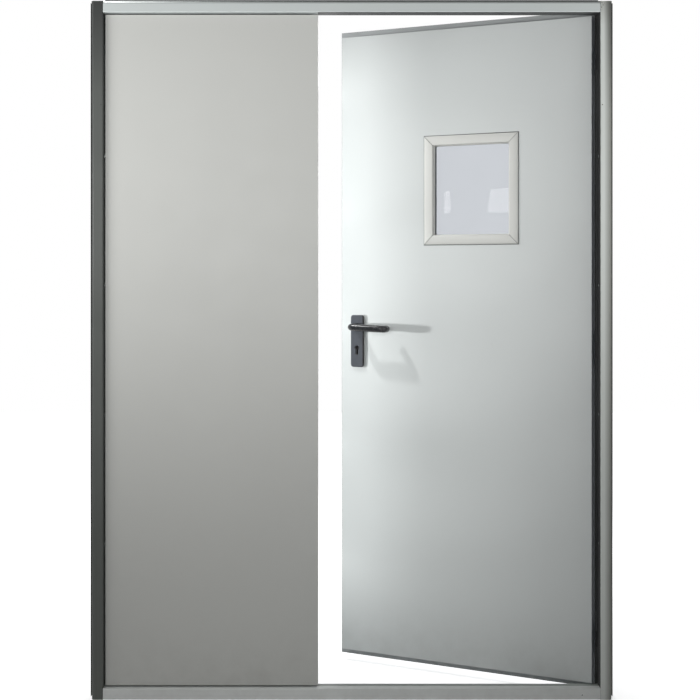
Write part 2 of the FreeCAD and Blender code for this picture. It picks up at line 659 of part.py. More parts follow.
def make_flush_bolt(name, middle):
    """A flush bolt: face, body and the small lever that lies in its slot. The uncut blank is returned."""
    rise = "(flush_slot_rise / 2)"
    slot_low = "(%s - %s)" % (middle, rise)
    slot_high = "(%s + %s)" % (middle, rise)
    face = edge_block("flush_sheet", "0", STEP_MIDDLE, "flush_width / 2",
                      middle + " - flush_rise / 2", middle + " + flush_rise / 2")
    body = edge_block("flush_sheet + flush_body", "flush_sheet", STEP_MIDDLE,
                      "(flush_slot / 2 + flush_sheet)",
                      slot_low + " - flush_sheet", slot_high + " + flush_sheet")
    slot = edge_block("flush_sheet", "-skin", STEP_MIDDLE, "flush_slot / 2", slot_low, slot_high)
    arm = edge_block("flush_sheet", "0", STEP_MIDDLE, "(flush_slot / 2 - flush_play)",
                     slot_low + " + flush_notch", slot_high + " - flush_play")
    keep(name, join([carve(face, [slot]), body, arm]))
    return join([face, body])


FLUSH_MIDDLE = "(flush_inset + flush_rise / 2)"
flush_blanks = [
    make_flush_bolt("flush_bolt_bottom", "(%s + %s)" % (LEAF_LOW, FLUSH_MIDDLE)),
    make_flush_bolt("flush_bolt_top", "(%s - %s)" % (LEAF_HIGH, FLUSH_MIDDLE)),
]
strike = edge_block("flush_sheet", "0", LEAF_MIDDLE, "forend_width / 2",
                    FOREND_HEIGHT + " - strike_rise / 2", FOREND_HEIGHT + " + strike_rise / 2")
bolt_ways = [bolt_way("spindle_height", "latch_rise"), bolt_way(DEADBOLT_HEIGHT, "deadbolt_rise")]

# The leaf is as deep as its frame on the strip that the active leaf's lip covers.
step = slab((STEP_SIDE, FRAME_PULL, LEAF_LOW + " - " + FAR),
            (INACTIVE_EDGE + " + " + FAR, FAR, LEAF_HIGH + " + " + FAR))
step_back = slab((STEP_SIDE + " - skin", FRAME_PULL + " - skin", LEAF_LOW + " - " + FAR),
                 (INACTIVE_EDGE + " + " + FAR, FAR, LEAF_HIGH + " + " + FAR))
deep = slab((LEFT_SIDE, LEAF_PUSH, LEAF_LOW), (INACTIVE_EDGE, LEAF_PULL + " - skin", LEAF_HIGH))
hollow = slab((LEFT_SIDE + " + skin", LEAF_PUSH + " + skin", LEAF_LOW + " - skin"),
              (INACTIVE_EDGE + " - skin", FAR, LEAF_HIGH + " + skin"))
tray = carve(deep, [carve(hollow, [step_back]), step])
cover = leaf_cover("(-%s)" % LIP_SIDE, STEP_SIDE, LEFT_SIDE, STEP_SIDE)
stretches = [(LEFT_SIDE, STEP_SIDE, LEAF_PULL), (LEFT_SIDE, INACTIVE_EDGE, FRAME_PULL)]
core = join([leaf_core(*stretch) for stretch in stretches])
keep("inactive_push_skin", carve(tray, [strike] + flush_blanks + left_wings))
keep("inactive_pull_skin", carve(cover, left_wings))
keep("inactive_core", carve(core, [strike] + bolt_ways + flush_blanks + left_wings))
make_channels("inactive", stretches)
keep("strike_plate", carve(strike, bolt_ways))
keep("meeting_gasket", slab(
    (STEP_SIDE + " + gasket_inset", FRAME_PULL, LEAF_LOW + " + leaf_gap"),
    (STEP_SIDE + " + gasket_inset + gasket_width", LIP_UNDER + " - gasket_play", LEAF_HIGH + " - leaf_gap")))

doc.recompute()

# The levers rest a little below level, on the spindle's axis.
PARTS_ON_LEAF = ("active", "window", "handle", "lever", "lock", "spindle", "latch", "dead_bolt",
                 "right_hinges_leaf")


def turned_about(point, axis, degrees):
    """A placement that turns a piece about a line through the point."""
    turn = FreeCAD.Rotation(axis, degrees)
    return FreeCAD.Placement(point - turn.multVec(point), turn)


spindle_end = FreeCAD.Vector(value(SPINDLE), 0, value("spindle_height"))
droop = turned_about(spindle_end, FreeCAD.Vector(0, 1, 0), value("lever_droop"))
for name in ("lever_push", "lever_pull"):
    PARTS[name].Placement = droop.multiply(PARTS[name].Placement)

# The active leaf swings away from the push side about its hinge pins.
pivot = FreeCAD.Vector(value(HINGE_SIDE), value(HINGE_DEPTH), 0)
swing = turned_about(pivot, FreeCAD.Vector(0, 0, 1), -value("open_angle"))
for name, piece in PARTS.items():
    if name.startswith(PARTS_ON_LEAF):
        shut = piece.Placement
        for axis in "xyz":
            piece.setExpression(".Placement.Base." + axis, None)
        piece.Placement = swing.multiply(shut)
doc.recompute()

for item in doc.Objects:
    if "Invalid" in item.State or "Error" in item.State:
        raise RuntimeError("%s did not compute" % item.Label)
for name, piece in PARTS.items():
    if piece.Shape.isNull() or not piece.Shape.isValid():
        raise RuntimeError("%s has no valid shape" % name)

os.makedirs("parts", exist_ok=True)
for name, piece in PARTS.items():
    piece.Shape.exportStep("parts/%s.step" % name)
    box = piece.Shape.BoundBox
    print("%-26s solids %d  volume %10.0f  X %8.1f %8.1f  Y %7.1f %7.1f  Z %7.1f %7.1f" % (
        name, len(piece.Shape.Solids), piece.Shape.Volume,
        box.XMin, box.XMax, box.YMin, box.YMax, box.ZMin, box.ZMax))
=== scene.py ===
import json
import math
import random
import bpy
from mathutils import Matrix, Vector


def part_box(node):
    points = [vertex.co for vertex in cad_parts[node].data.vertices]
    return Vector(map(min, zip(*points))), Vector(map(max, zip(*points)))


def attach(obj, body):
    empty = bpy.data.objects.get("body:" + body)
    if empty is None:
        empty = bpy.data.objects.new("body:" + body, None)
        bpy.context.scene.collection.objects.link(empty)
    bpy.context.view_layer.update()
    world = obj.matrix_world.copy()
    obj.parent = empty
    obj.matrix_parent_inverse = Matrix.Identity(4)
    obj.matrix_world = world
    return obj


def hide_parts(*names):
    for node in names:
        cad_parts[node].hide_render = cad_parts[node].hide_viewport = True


bl_info = {
    "name": "Steel Utility Door",
    "version": (1, 0, 0),
    "blender": (4, 5, 0),
    "location": "View3D > Sidebar > Door",
    "description": "Dresses a two-leaf steel utility door and sets up its stage",
    "category": "Object",
}

import bmesh
import bpy
from bpy.props import FloatProperty, FloatVectorProperty, IntProperty, PointerProperty
from mathutils import Matrix, Vector

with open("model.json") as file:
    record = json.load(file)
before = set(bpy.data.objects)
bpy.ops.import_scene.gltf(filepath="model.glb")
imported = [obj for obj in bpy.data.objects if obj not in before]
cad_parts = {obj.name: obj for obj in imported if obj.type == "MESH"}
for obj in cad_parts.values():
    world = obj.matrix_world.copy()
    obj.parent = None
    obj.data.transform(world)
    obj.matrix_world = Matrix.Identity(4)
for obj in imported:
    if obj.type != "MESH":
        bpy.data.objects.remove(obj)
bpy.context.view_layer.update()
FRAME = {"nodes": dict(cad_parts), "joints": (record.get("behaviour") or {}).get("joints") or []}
NODES = FRAME["nodes"]
JOINTS = {joint["name"]: joint for joint in FRAME["joints"]}

MM = 0.001
# Points of a mesh that are nearer than this become one.
TINY = 1e-6

# The push side faces -Y, and the pull side faces +Y.
ACROSS = Vector((1, 0, 0))
PULL = Vector((0, 1, 0))
UP = Vector((0, 0, 1))
SIDES = (("push", -1), ("pull", 1))


def turned(joint, degrees):
    """The move that turns a joint's child by an angle from rest."""
    pivot = Vector(joint["pos_m"])
    turn = Matrix.Rotation(math.radians(degrees), 4, Vector(joint["axis"]))
    return Matrix.Translation(pivot) @ turn @ Matrix.Translation(-pivot)


# The active leaf stands ajar at rest. Its pieces are built on the shut leaf and swung.
LEAF_HINGE = JOINTS["active_leaf_hinge"]
SWING = turned(LEAF_HINGE, -LEAF_HINGE["range_deg"][0])
SHUT = SWING.inverted()


def shut_box(node):
    """Lowest and highest corner of a node on the active leaf, with the leaf shut."""
    places = [SHUT @ vertex.co for vertex in NODES[node].data.vertices]
    return tuple(Vector([pick(place[axis] for place in places) for axis in range(3)])
                 for pick in (min, max))


def leaf_face(outward):
    """Where the shut leaf's face is along Y, on the push side, -1, or the pull side, 1."""
    return shut_box("active_push_skin")[0].y if outward < 0 else shut_box("active_pull_skin")[1].y


# Sizes and colours that a user would change.

def screen_colour(red, green, blue):
    """A colour as a picture shows it, 0 to 255, as the linear colour that Blender mixes."""
    levels = [channel / 255 for channel in (red, green, blue)]
    return tuple(((level + 0.055) / 1.055) ** 2.4 if level > 0.04 else level / 12.92
                 for level in levels)


def colour_property(name, description, *shown):
    return FloatVectorProperty(name=name, description=description, subtype="COLOR", size=3,
                               min=0.0, max=1.0, default=screen_colour(*shown))


def length_property(name, description, default):
    return FloatProperty(name=name, description=description, unit="LENGTH", min=0.0, default=default)


class DoorPaint(bpy.types.PropertyGroup):
    """Colours of the painted and coated sheet, among them painted shade and painted light."""

    left_leaf: colour_property("Left leaf", "Powder coat of its push side", 197, 198, 194)
    right_leaf: colour_property("Right leaf", "Powder coat of its push side", 194, 198, 197)
    leaf_back: colour_property("Leaf back", "Coating of the leaves' pull side", 204, 211, 214)
    edge: colour_property("Leaf edge", "Coated sheet on the leaf's folded edge", 205, 212, 218)
    # Painted shade: inside the pull skin's lip the coat is set darker than the leaf's back.
    lip_painted_shade: colour_property("Leaf lip", "Coat inside the pull skin's lip", 158, 161, 161)
    head: colour_property("Head", "Paint of the frame's top member", 199, 205, 204)
    # Painted light: the sill is set lighter than the head to make up for the dimmer light near the
    # floor.
    sill: colour_property("Sill", "Paint of the frame's bottom member", 228, 231, 229)
    # Painted shade: the left upright's push face is set far darker than the same paint on the other
    # members.
    jamb_left: colour_property("Left jamb", "Paint of the left upright", 69, 72, 69)
    jamb_right: colour_property("Right jamb", "Paint of the right upright", 209, 213, 209)
    frame_back: colour_property("Frame back", "Paint of the frame's pull side", 160, 165, 162)
    # Painted shade: the right upright darkens towards its outer side and its top.
    outer_painted_shade: colour_property("Outer edge", "Paint of the right upright's outer side", 122, 124, 118)
    # Painted shade: near black on the frame's outer bends, towards the top of the uprights and in the
    # gap beside the hinges.
    dark_painted_shade: colour_property("Dark bend", "Outer bends, and the gap beside the hinges", 30, 32, 31)
    # Painted shade under the head, over the doorway.
    shade_tone: colour_property("Soffit", "Dark coat under the head, over the doorway", 50, 51, 52)
    burnt: colour_property("Burnt paint", "Weld spatter on the frame", 84, 78, 70)
    dirt: colour_property("Dirt", "Dust that gathers near the floor", 118, 113, 104)
    peel_size: length_property("Peel size", "Width of one bump of the powder coat", 2.6 * MM)


class DoorFittings(bpy.types.PropertyGroup):
    """Colours and sizes of the hinges, lock, handles and glazing."""

    lever: colour_property("Lever", "Both levers", 30, 31, 33)
    plate: colour_property("Plate", "Handle plates", 67, 70, 75)
    zinc: colour_property("Zinc", "Hinges and edge channels", 196, 207, 213)
    brass: colour_property("Brass", "Washer between two knuckles", 188, 150, 84)
    steel: colour_property("Steel", "Lock face, bolts and screws", 196, 198, 200)
    bars: colour_property("Glazing bars", "Frame round the window", 197, 198, 194)
    glass: colour_property("Glass", "Tint of the double glazing", 228, 230, 233)
    rubber: colour_property("Rubber", "Sealing strips", 36, 36, 37)
    seal: colour_property("Window seal", "Strip between the bars and the leaf", 112, 114, 113)
    paper: colour_property("Paper", "Honeycomb filling", 206, 172, 146)
    mitre_gap: length_property("Mitre gap", "Joint between two glazing bars", 2.4 * MM)
    lever_round: length_property("Lever end", "Rounding of the lever's end", 6.0 * MM)
    ring_steps: IntProperty(
        name="Ring steps", description="Sides of a round piece", default=40, min=12, max=96)


class DoorStage(bpy.types.PropertyGroup):
    """Camera, even light and floor."""

    camera_place: FloatVectorProperty(
        name="Camera", description="Place of the camera", subtype="TRANSLATION", unit="LENGTH",
        default=(-0.003, -3.875, 1.308))
    lens: FloatProperty(
        name="Lens", description="Focal length in mm", default=64.39, min=10, max=300)
    shift_x: FloatProperty(name="Shift X", description="Sideways lens shift", default=-0.0010)
    shift_y: FloatProperty(name="Shift Y", description="Upward lens shift", default=-0.1077)
    ambient: FloatProperty(
        name="Ambient", description="Strength of the even light", default=0.1, min=0.0)
    floor_size: length_property("Floor size", "Side of the square floor", 16.0)


# Shader maths as Python expressions.

class Flow:
    """A node's output that takes part in sums, so an expression on it adds Math nodes."""

    def __init__(self, graph, socket):
        self.graph = graph
        self.socket = socket

    def maths(self, operation, *values):
        return self.graph.node("ShaderNodeMath", {"operation": operation}, dict(enumerate(values)))

    def __add__(self, other):
        return self.maths("ADD", self, other)

    def __radd__(self, other):
        return self.maths("ADD", other, self)

    def __sub__(self, other):
        return self.maths("SUBTRACT", self, other)

    def __rsub__(self, other):
        return self.maths("SUBTRACT", other, self)

    def __mul__(self, other):
        return self.maths("MULTIPLY", self, other)

    def __rmul__(self, other):
        return self.maths("MULTIPLY", other, self)

    def __truediv__(self, other):
        return self.maths("DIVIDE", self, other)

    def __gt__(self, other):
        return self.maths("GREATER_THAN", self, other)

    def at_most_one(self):
        return self.maths("MINIMUM", self, 1.0)

    def clamped(self):
        """The value held between 0 and 1."""
        return self.maths("MAXIMUM", self, 0.0).at_most_one()


class Graph:
    """The node tree of one material or world, emptied and ready to fill."""

    def __init__(self, owner):
        owner.use_nodes = True
        self.owner = owner
        self.tree = owner.node_tree
        self.tree.nodes.clear()

    def node(self, kind, settings=None, sockets=None, output=0):
        """Add a node with its settings, feed its sockets, and give one of its outputs."""
        made = self.tree.nodes.new(kind)
        for name, setting in (settings or {}).items():
            if name == "stops":
                self.set_stops(made.color_ramp, setting)
            else:
                setattr(made, name, setting)
        for name, feed in (sockets or {}).items():
            if isinstance(feed, Flow):
                self.tree.links.new(feed.socket, made.inputs[name])
            else:
                made.inputs[name].default_value = feed
        return Flow(self, made.outputs[output]) if made.outputs else None

    def set_stops(self, ramp, stops):
        """Give a colour ramp its stops, each a place and a grey level."""
        while len(ramp.elements) < len(stops):
            ramp.elements.new(1.0)
        for element, (place, level) in zip(ramp.elements, stops):
            element.position = place
            element.color = (level, level, level, 1.0)

    def place(self):
        """The place on the object, in metres."""
        return self.node("ShaderNodeTexCoord", output="Object")

    def along(self, axis):
        """How far the place lies along X, Y or Z."""
        return self.node("ShaderNodeSeparateXYZ", {}, {0: self.place()}, output=axis)

    def noise(self, size, detail=3.0, roughness=0.5, stretch=None):
        """Even noise whose spots are about this wide, in metres."""
        place = self.place()
        if stretch:
            place = self.node("ShaderNodeMapping", {}, {"Vector": place, "Scale": stretch})
        return self.node("ShaderNodeTexNoise", {}, {
            "Vector": place, "Scale": 1 / size, "Detail": detail, "Roughness": roughness})

    def ramp(self, value, stops):
        return self.node("ShaderNodeValToRGB", {"stops": stops}, {0: value})

    def spots(self, start, end, size, detail, roughness=0.5):
        """Noise drawn apart, so that it goes from 0 to 1 between two of its levels."""
        return self.ramp(self.noise(size, detail, roughness), [(start, 0.0), (end, 1.0)])

    def mix(self, factor, first, second):
        """One colour going over into another. The Mix node's colour sockets have numbers."""
        first, second = (feed if isinstance(feed, Flow) else (*feed, 1.0) for feed in (first, second))
        return self.node("ShaderNodeMix", {"data_type": "RGBA"}, {0: factor, 6: first, 7: second},
                         output=2)

    def shaded(self, shown, mask):
        """The colour with what the mask picks gone nearly black, as painted shade. No mask leaves it as
        it is.
        """
        painted_shade_black = (0.004, 0.004, 0.004)
        return self.mix(mask(self), shown, painted_shade_black) if mask else shown

    def bump(self, height, strength, distance):
        return self.node("ShaderNodeBump", {}, {
            "Strength": strength, "Distance": distance, "Height": height})

    def finish(self, **sockets):
        """Close the tree with a Principled shader, and give the material."""
        shader = self.node("ShaderNodeBsdfPrincipled", {}, {
            name.replace("_", " "): feed for name, feed in sockets.items()})
        self.node("ShaderNodeOutputMaterial", {}, {"Surface": shader})
        return self.owner


def scaled(colour, share):
    """A darker or lighter shade of a colour."""
    return [channel * share for channel in colour]


def new_material(name):
    return Graph(bpy.data.materials.new(name))


def powder_coat(name, colour, tones=()):
    """Satin powder coat: fine peel, slow mottle, handling smudges and dust near the floor."""
    paint = bpy.context.scene.door_paint
    graph = new_material(name)
    base = colour
    # Tones over the base: on the frame and the lip these are painted shade and light.
    for amount, tone in tones:
        base = graph.mix(amount(graph), base, tone)
    mottle = graph.spots(0.35, 0.7, 350 * MM, 4.0)
    cloudy = graph.mix(mottle * 0.06, base, scaled(colour, 0.72))
    patches = graph.spots(0.4, 0.75, 50 * MM, 6.0, 0.65)
    near_floor = graph.ramp(graph.along("Z"), [(0.0, 1.0), (0.22, 0.0)]) * patches
    speck = graph.spots(0.72, 0.78, 6 * MM, 2.0)
    smudge = graph.spots(0.4, 0.68, 120 * MM, 5.0, 0.6)
    peel = graph.noise(paint.peel_size, detail=1.5)
    grain = graph.noise(0.7 * MM, detail=1.0)
    return graph.finish(
        Base_Color=graph.mix(near_floor * 0.14 + speck * 0.08, cloudy, paint.dirt),
        Roughness=0.50 + smudge * 0.08 + near_floor * 0.15,
        IOR=1.45,
        Normal=graph.bump(peel + grain * 0.25, 0.16, 0.3 * MM))


def zinc_coat(name, colour, gloss=0.34, mask=None):
    """Passivated zinc: pale blue-grey with a faint spangle."""
    spangles_per_metre = 240.0
    graph = new_material(name)
    spangle = graph.node("ShaderNodeTexVoronoi", {}, {
        "Vector": graph.place(), "Scale": spangles_per_metre}, output="Color")
    grey = graph.node("ShaderNodeRGBToBW", {}, {0: spangle})
    cloud = graph.noise(30 * MM, detail=4.0)
    shown = graph.mix(grey * 0.10 + cloud * 0.14, colour, scaled(colour, 0.62))
    return graph.finish(
        Base_Color=graph.shaded(shown, mask),
        Metallic=0.35,
        Roughness=gloss + grey * 0.06 + cloud * 0.10,
        Normal=graph.bump(grey + cloud * 2.0, 0.05, 0.2 * MM))


def bare_steel(name, colour):
    """Plated steel with fine brushing along its height."""
    graph = new_material(name)
    lines = graph.noise(1.2 * MM, detail=4.0, roughness=0.6, stretch=(1.0, 1.0, 0.04))
    stain = graph.spots(0.45, 0.8, 20 * MM, 5.0)
    return graph.finish(
        Base_Color=graph.mix(stain * 0.25 + lines * 0.08, colour, scaled(colour, 0.55)),
        Metallic=0.9,
        Roughness=0.26 + lines * 0.12 + stain * 0.12,
        Normal=graph.bump(lines, 0.06, 0.2 * MM))


def moulded_black(name, colour, gloss, mask=None):
    """Dark moulding over steel, with a very fine texture and rubbed spots."""
    graph = new_material(name)
    rubbed = graph.spots(0.45, 0.75, 18 * MM, 5.0, 0.6)
    grain = graph.noise(0.9 * MM, detail=2.0)
    shown = graph.mix(rubbed * 0.25, colour, scaled(colour, 1.5))
    return graph.finish(
        Base_Color=graph.shaded(shown, mask),
        Roughness=gloss + rubbed * 0.10,
        Specular_IOR_Level=0.45,
        Normal=graph.bump(grain, 0.12, 0.2 * MM))


def rubber_finish(name, colour):
    """Dull and dusty, for rubber, burnt paint and the sockets of screws."""
    graph = new_material(name)
    dust = graph.spots(0.5, 0.8, 10 * MM, 6.0, 0.7)
    grain = graph.noise(1.5 * MM, detail=2.0)
    dusty = [min(1.0, channel * 3 + 0.05) for channel in colour]
    return graph.finish(
        Base_Color=graph.mix(dust * 0.18, colour, dusty),
        Roughness=0.62 + dust * 0.2,
        Normal=graph.bump(grain, 0.1, 0.3 * MM))


def bar_finish(name):
    """Off-white satin finish of the glazing bars."""
    bars = bpy.context.scene.door_fittings.bars
    graph = new_material(name)
    cloud = graph.noise(90 * MM, detail=4.0)
    grain = graph.noise(1.6 * MM, detail=2.0)
    return graph.finish(
        Base_Color=graph.mix(cloud * 0.12, bars, scaled(bars, 0.75)),
        Roughness=0.46 + cloud * 0.08,
        Normal=graph.bump(grain, 0.05, 0.2 * MM))


def glass_finish(name):
    """Clear glass with a faint uneven film."""
    glass = bpy.context.scene.door_fittings.glass
    graph = new_material(name)
    film = graph.spots(0.4, 0.85, 60 * MM, 5.0, 0.6)
    return graph.finish(
        Base_Color=graph.mix(film * 0.08, glass, scaled(glass, 0.85)),
        Roughness=0.015 + film * 0.03,
        IOR=1.2,
        Transmission_Weight=1.0)


def paper_finish(name, mask=None):
    """Honeycomb paper seen on its cut edge: pale walls, with painted shade darkening the hollow cells
    between them.
    """
    cells_per_metre = 70.0
    colour = bpy.context.scene.door_fittings.paper
    graph = new_material(name)
    cells = graph.node("ShaderNodeTexVoronoi", {"feature": "DISTANCE_TO_EDGE"}, {
        "Vector": graph.place(), "Scale": cells_per_metre})
    wall = graph.ramp(cells, [(0.04, 1.0), (0.16, 0.0)])
    fibre = graph.noise(4 * MM, detail=5.0)
    paper = graph.mix(fibre * 0.4, colour, scaled(colour, 0.6))
    # The cells between the walls are darkened as painted shade.
    shown = graph.mix(wall, scaled(colour, 0.22), paper)
    return graph.finish(
        Base_Color=graph.shaded(shown, mask),
        Roughness=0.85,
        Normal=graph.bump(wall, 0.4, 2 * MM))


# Meshes.

def new_piece(name, shape, body, material, bevel=0.0, sharp=35.0, swing=False):
    """Turn a bmesh into a shown piece that rides on a body."""
    bmesh.ops.remove_doubles(shape, verts=shape.verts, dist=TINY)
    bmesh.ops.recalc_face_normals(shape, faces=shape.faces)
    if bevel:
        edges = [edge for edge in shape.edges
                 if len(edge.link_faces) == 2 and edge.calc_face_angle() > math.radians(sharp)]
        bmesh.ops.bevel(shape, geom=edges, offset=bevel, segments=2, profile=0.5, affect="EDGES",
                        clamp_overlap=True)
    if swing:
        bmesh.ops.transform(shape, matrix=SWING, verts=shape.verts)
    mesh = bpy.data.meshes.new(name)
    shape.to_mesh(mesh)
    shape.free()
    mesh.shade_smooth()
    mesh.set_sharp_from_angle(angle=math.radians(sharp))
    mesh.materials.append(material)
    piece = bpy.data.objects.new(name, mesh)
    bpy.context.scene.collection.objects.link(piece)
    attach(piece, body)
    return piece


def dress(node, material):
    """Give a CAD node its finish."""
    slots = NODES[node].data.materials
    slots.clear()
    slots.append(material)


def add_box(shape, low, high):
    """A box between two corners."""
    middle = (Vector(low) + Vector(high)) / 2
    size = Vector(high) - Vector(low)
    place = Matrix.Translation(middle) @ Matrix.Diagonal((*size, 1.0))
    bmesh.ops.create_cube(shape, size=1.0, matrix=place)


def add_rings(shape, rings, closed=False):
    """A skin through rings of points, each ring with as many points, and flat ends."""
    rows = [[shape.verts.new(point) for point in ring] for ring in rings]
    pairs = zip(rows, rows[1:] + rows[:1]) if closed else zip(rows, rows[1:])
    for row, after in pairs:
        for index in range(len(row)):
            following = (index + 1) % len(row)
            shape.faces.new((row[index], row[following], after[following], after[index]))
    if not closed:
        shape.faces.new(rows[0][::-1])
        shape.faces.new(rows[-1])


def ring_of(centre, side, up, radius, steps):
    """Points round a centre, in the plane of two directions."""
    turns = [2 * math.pi * step / steps for step in range(steps)]
    return [centre + (side * math.cos(turn) + up * math.sin(turn)) * radius for turn in turns]


def add_lathe(shape, centre, profile, steps, axis=UP, side=ACROSS):
    """A turned solid: the profile gives radius and height along the axis, both in metres."""
    up = axis.cross(side)
    add_rings(shape, [ring_of(centre + axis * height, side, up, max(radius, TINY), steps)
                      for radius, height in profile])


def add_ring_band(shape, centre, inner, outer, low, high, steps):
    """A tube round the Z axis."""
    rings = [ring_of(centre + UP * height, ACROSS, PULL, radius, steps)
             for radius, height in ((inner, low), (outer, low), (outer, high), (inner, high))]
    add_rings(shape, rings, closed=True)


def add_bar(shape, profile, start, end, across, depth, slopes=(0.0, 0.0)):
    """A straight bar of one section. A mitred end moves with the section's first coordinate."""
    along = (end - start).normalized()
    rings = []
    for place, slope in ((start, slopes[0]), (end, slopes[1])):
        rings.append([place + across * u + depth * v + along * (u * slope) for u, v in profile])
    add_rings(shape, rings)


def add_mitred_frame(shape, profile, low, high, face, outward, gap=0.0):
    """Four bars round an opening, with a section given as reach past the opening and depth."""
    places = (low, (high[0], low[1]), high, (low[0], high[1]))
    corners = [Vector((across, face, height)) for across, height in places]
    for corner, after in zip(corners, corners[1:] + corners[:1]):
        along = (after - corner).normalized()
        across = Vector((along.z, 0, -along.x))
        add_bar(shape, profile, corner + along * gap / 2, after - along * gap / 2,
                across, PULL * outward, slopes=(-1.0, 1.0))


def add_screw(shape, centre, outward):
    """A countersunk screw head with a cross recess, let into a face."""
    radius = 3.6 * MM
    blade_length, blade_width = radius * 0.48, radius * 0.09
    foot, top = 0.2 * MM, 0.4 * MM
    head = [(radius, 0.0), (radius, 0.35 * MM), (radius * 0.86, 0.55 * MM),
            (radius * 0.5, 0.62 * MM), (radius * 0.45, 0.1 * MM), (0.0, 0.02 * MM)]
    add_lathe(shape, centre, head, 20, outward, UP)
    for way in (UP, outward.cross(UP)):
        half = way * blade_length + outward.cross(way) * blade_width
        ends = (centre - half + outward * foot, centre + half + outward * top)
        low, high = ([pick(pair) for pair in zip(*ends)] for pick in (min, max))
        add_box(shape, low, high)


class DoorOperator:
    """What the door's operators share."""

    bl_options = {"REGISTER", "UNDO"}

    def shut_distance(self, graph, way):
        """How far a place on the active leaf is along a level direction, with the leaf shut."""
        pivot = LEAF_HINGE["pos_m"]
        ahead = SWING.to_3x3() @ way
        along = (graph.along("X") - pivot[0]) * ahead.x + (graph.along("Y") - pivot[1]) * ahead.y
        return along + pivot[0] * way.x + pivot[1] * way.y


# Frame: the width of its push face, and how high the painted shade on the uprights reaches.
JAMB_FACE = 35 * MM
LEFT_SHADE_FOOT = 1.87
CORNER_DROP = 0.35
CORNER_RISE = 0.03
WELD_SPOTS = 11


class DOOR_OT_frame(DoorOperator, bpy.types.Operator):
    """Paint the four members of the frame, with painted shade and light on their push faces, and add
    plugs and weld spatter
    """

    bl_idname = "door.frame"
    bl_label = "Frame"

    def execute(self, context):
        paint = context.scene.door_paint
        rubber = context.scene.door_fittings.rubber
        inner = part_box("jamb_right")[0].x
        outer = inner + JAMB_FACE
        head_low, head_high = (corner.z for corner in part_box("head"))
        push = self.rise("Y", 2 * MM, -2 * MM)
        head_bend_shade = self.rise("Z", head_high - 20 * MM, head_high - 8 * MM)
        left_top_shade = self.rise("Z", LEFT_SHADE_FOOT, head_high - 10 * MM)
        left_bend_shade = self.rise("X", 4 * MM - outer, 1 * MM - outer)
        right_side_shade = self.rise("X", inner + 12 * MM, outer - 4 * MM)
        right_top_shade = self.rise("Z", head_low - 40 * MM, head_high + 60 * MM)
        right_corner_shade = self.upper_corner(inner + 9 * MM, outer, head_high)
        # The right upright's inner side beside the leaf is painted near black like rubber, as painted
        # shade.
        right_return_shade = self.rise("X", inner + 0.8 * MM, inner + 0.4 * MM)
        tones = {
            # Head: the dark band on its top bend and its dark underside over the doorway are painted
            # shade.
            "head": [(push, paint.head), (head_bend_shade, paint.dark_painted_shade),
                     (self.soffit(head_low), paint.shade_tone)],
            # Sill: set lighter, as painted light.
            "sill": [(push, paint.sill)],
            # Left upright: its dark push face, darker top and black outer edge are painted shade.
            "jamb_left": [(push, paint.jamb_left), (left_top_shade, paint.dark_painted_shade),
                          (left_bend_shade, paint.dark_painted_shade)],
            # Right upright: darker towards its outer side and its top, darkest in its top corner, and
            # near black on its inner side beside the leaf, all painted shade.
            "jamb_right": [(push, paint.jamb_right), (right_side_shade, paint.outer_painted_shade),
                           (right_top_shade, paint.outer_painted_shade), (right_corner_shade, paint.dark_painted_shade),
                           (right_return_shade, rubber)],
        }
        for node, marks in tones.items():
            dress(node, powder_coat(node + "_paint", paint.frame_back, marks))
        self.add_weld_marks(rubber_finish("burnt_paint", paint.burnt))
        self.add_plugs(rubber_finish("plug_rubber", rubber))
        return {"FINISHED"}

    def rise(self, axis, start, end):
        """A mask that goes from 0 to 1 between two places along an axis."""
        def amount(graph):
            return ((graph.along(axis) - start) / (end - start)).clamped()
        return amount

    def upper_corner(self, inner, outer, top):
        """A mask that rises to the right and upward, in the frame's top right corner."""
        def amount(graph):
            upward = self.rise("Z", top - CORNER_DROP, top + CORNER_RISE)
            return self.rise("X", inner, outer)(graph) * upward(graph)
        return amount

    def soffit(self, level):
        """1 on the head's underside over the doorway, which is painted dark as shade, darker than over
        the shut leaf.
        """
        def amount(graph):
            under = self.rise("Z", level + 0.8 * MM, level + 0.4 * MM)(graph)
            return under * (graph.along("X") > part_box("inactive_push_skin")[1].x)
        return amount

    def add_weld_marks(self, material):
        """Weld spatter at the top right corner."""
        low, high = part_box("head")
        shape = bmesh.new()
        chance = random.Random(7)
        for spot in range(WELD_SPOTS):
            across = high.x + chance.uniform(0.4, 14) * MM
            height = high.z - chance.uniform(12, 40) * MM
            radius = chance.uniform(0.5, 1.4) * MM
            drop = [(radius, 0.0), (radius * 0.8, radius * 0.35), (radius * 0.3, radius * 0.5)]
            add_lathe(shape, Vector((across, low.y, height)), drop, 10, -PULL, ACROSS)
        marks = new_piece("weld_spatter", shape, "frame", material)

    def add_plugs(self, material):
        """Small dark plugs in the push face: one in each upright and one in the sill."""
        low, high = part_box("sill")
        radius = 1.6 * MM
        beyond, raised = 6 * MM, 1.831
        inset, low_down = 56 * MM, 0.015
        places = ((low.x - beyond, raised), (high.x + beyond, raised), (high.x - inset, low_down))
        button = [(radius, 0.0), (radius, 0.2 * MM), (radius * 0.8, 0.4 * MM), (0.0, 0.45 * MM)]
        shape = bmesh.new()
        for across, height in places:
            add_lathe(shape, Vector((across, low.y, height)), button, 16, -PULL, ACROSS)
        plugs = new_piece("frame_plugs", shape, "frame", material)


# Leaves. How near to a face or an edge the sheet takes another finish or painted shade.
EDGE_REACH = 0.4 * MM
LIP_REACH = 0.5 * MM
LOCK_SHADE_MARGIN = 9 * MM


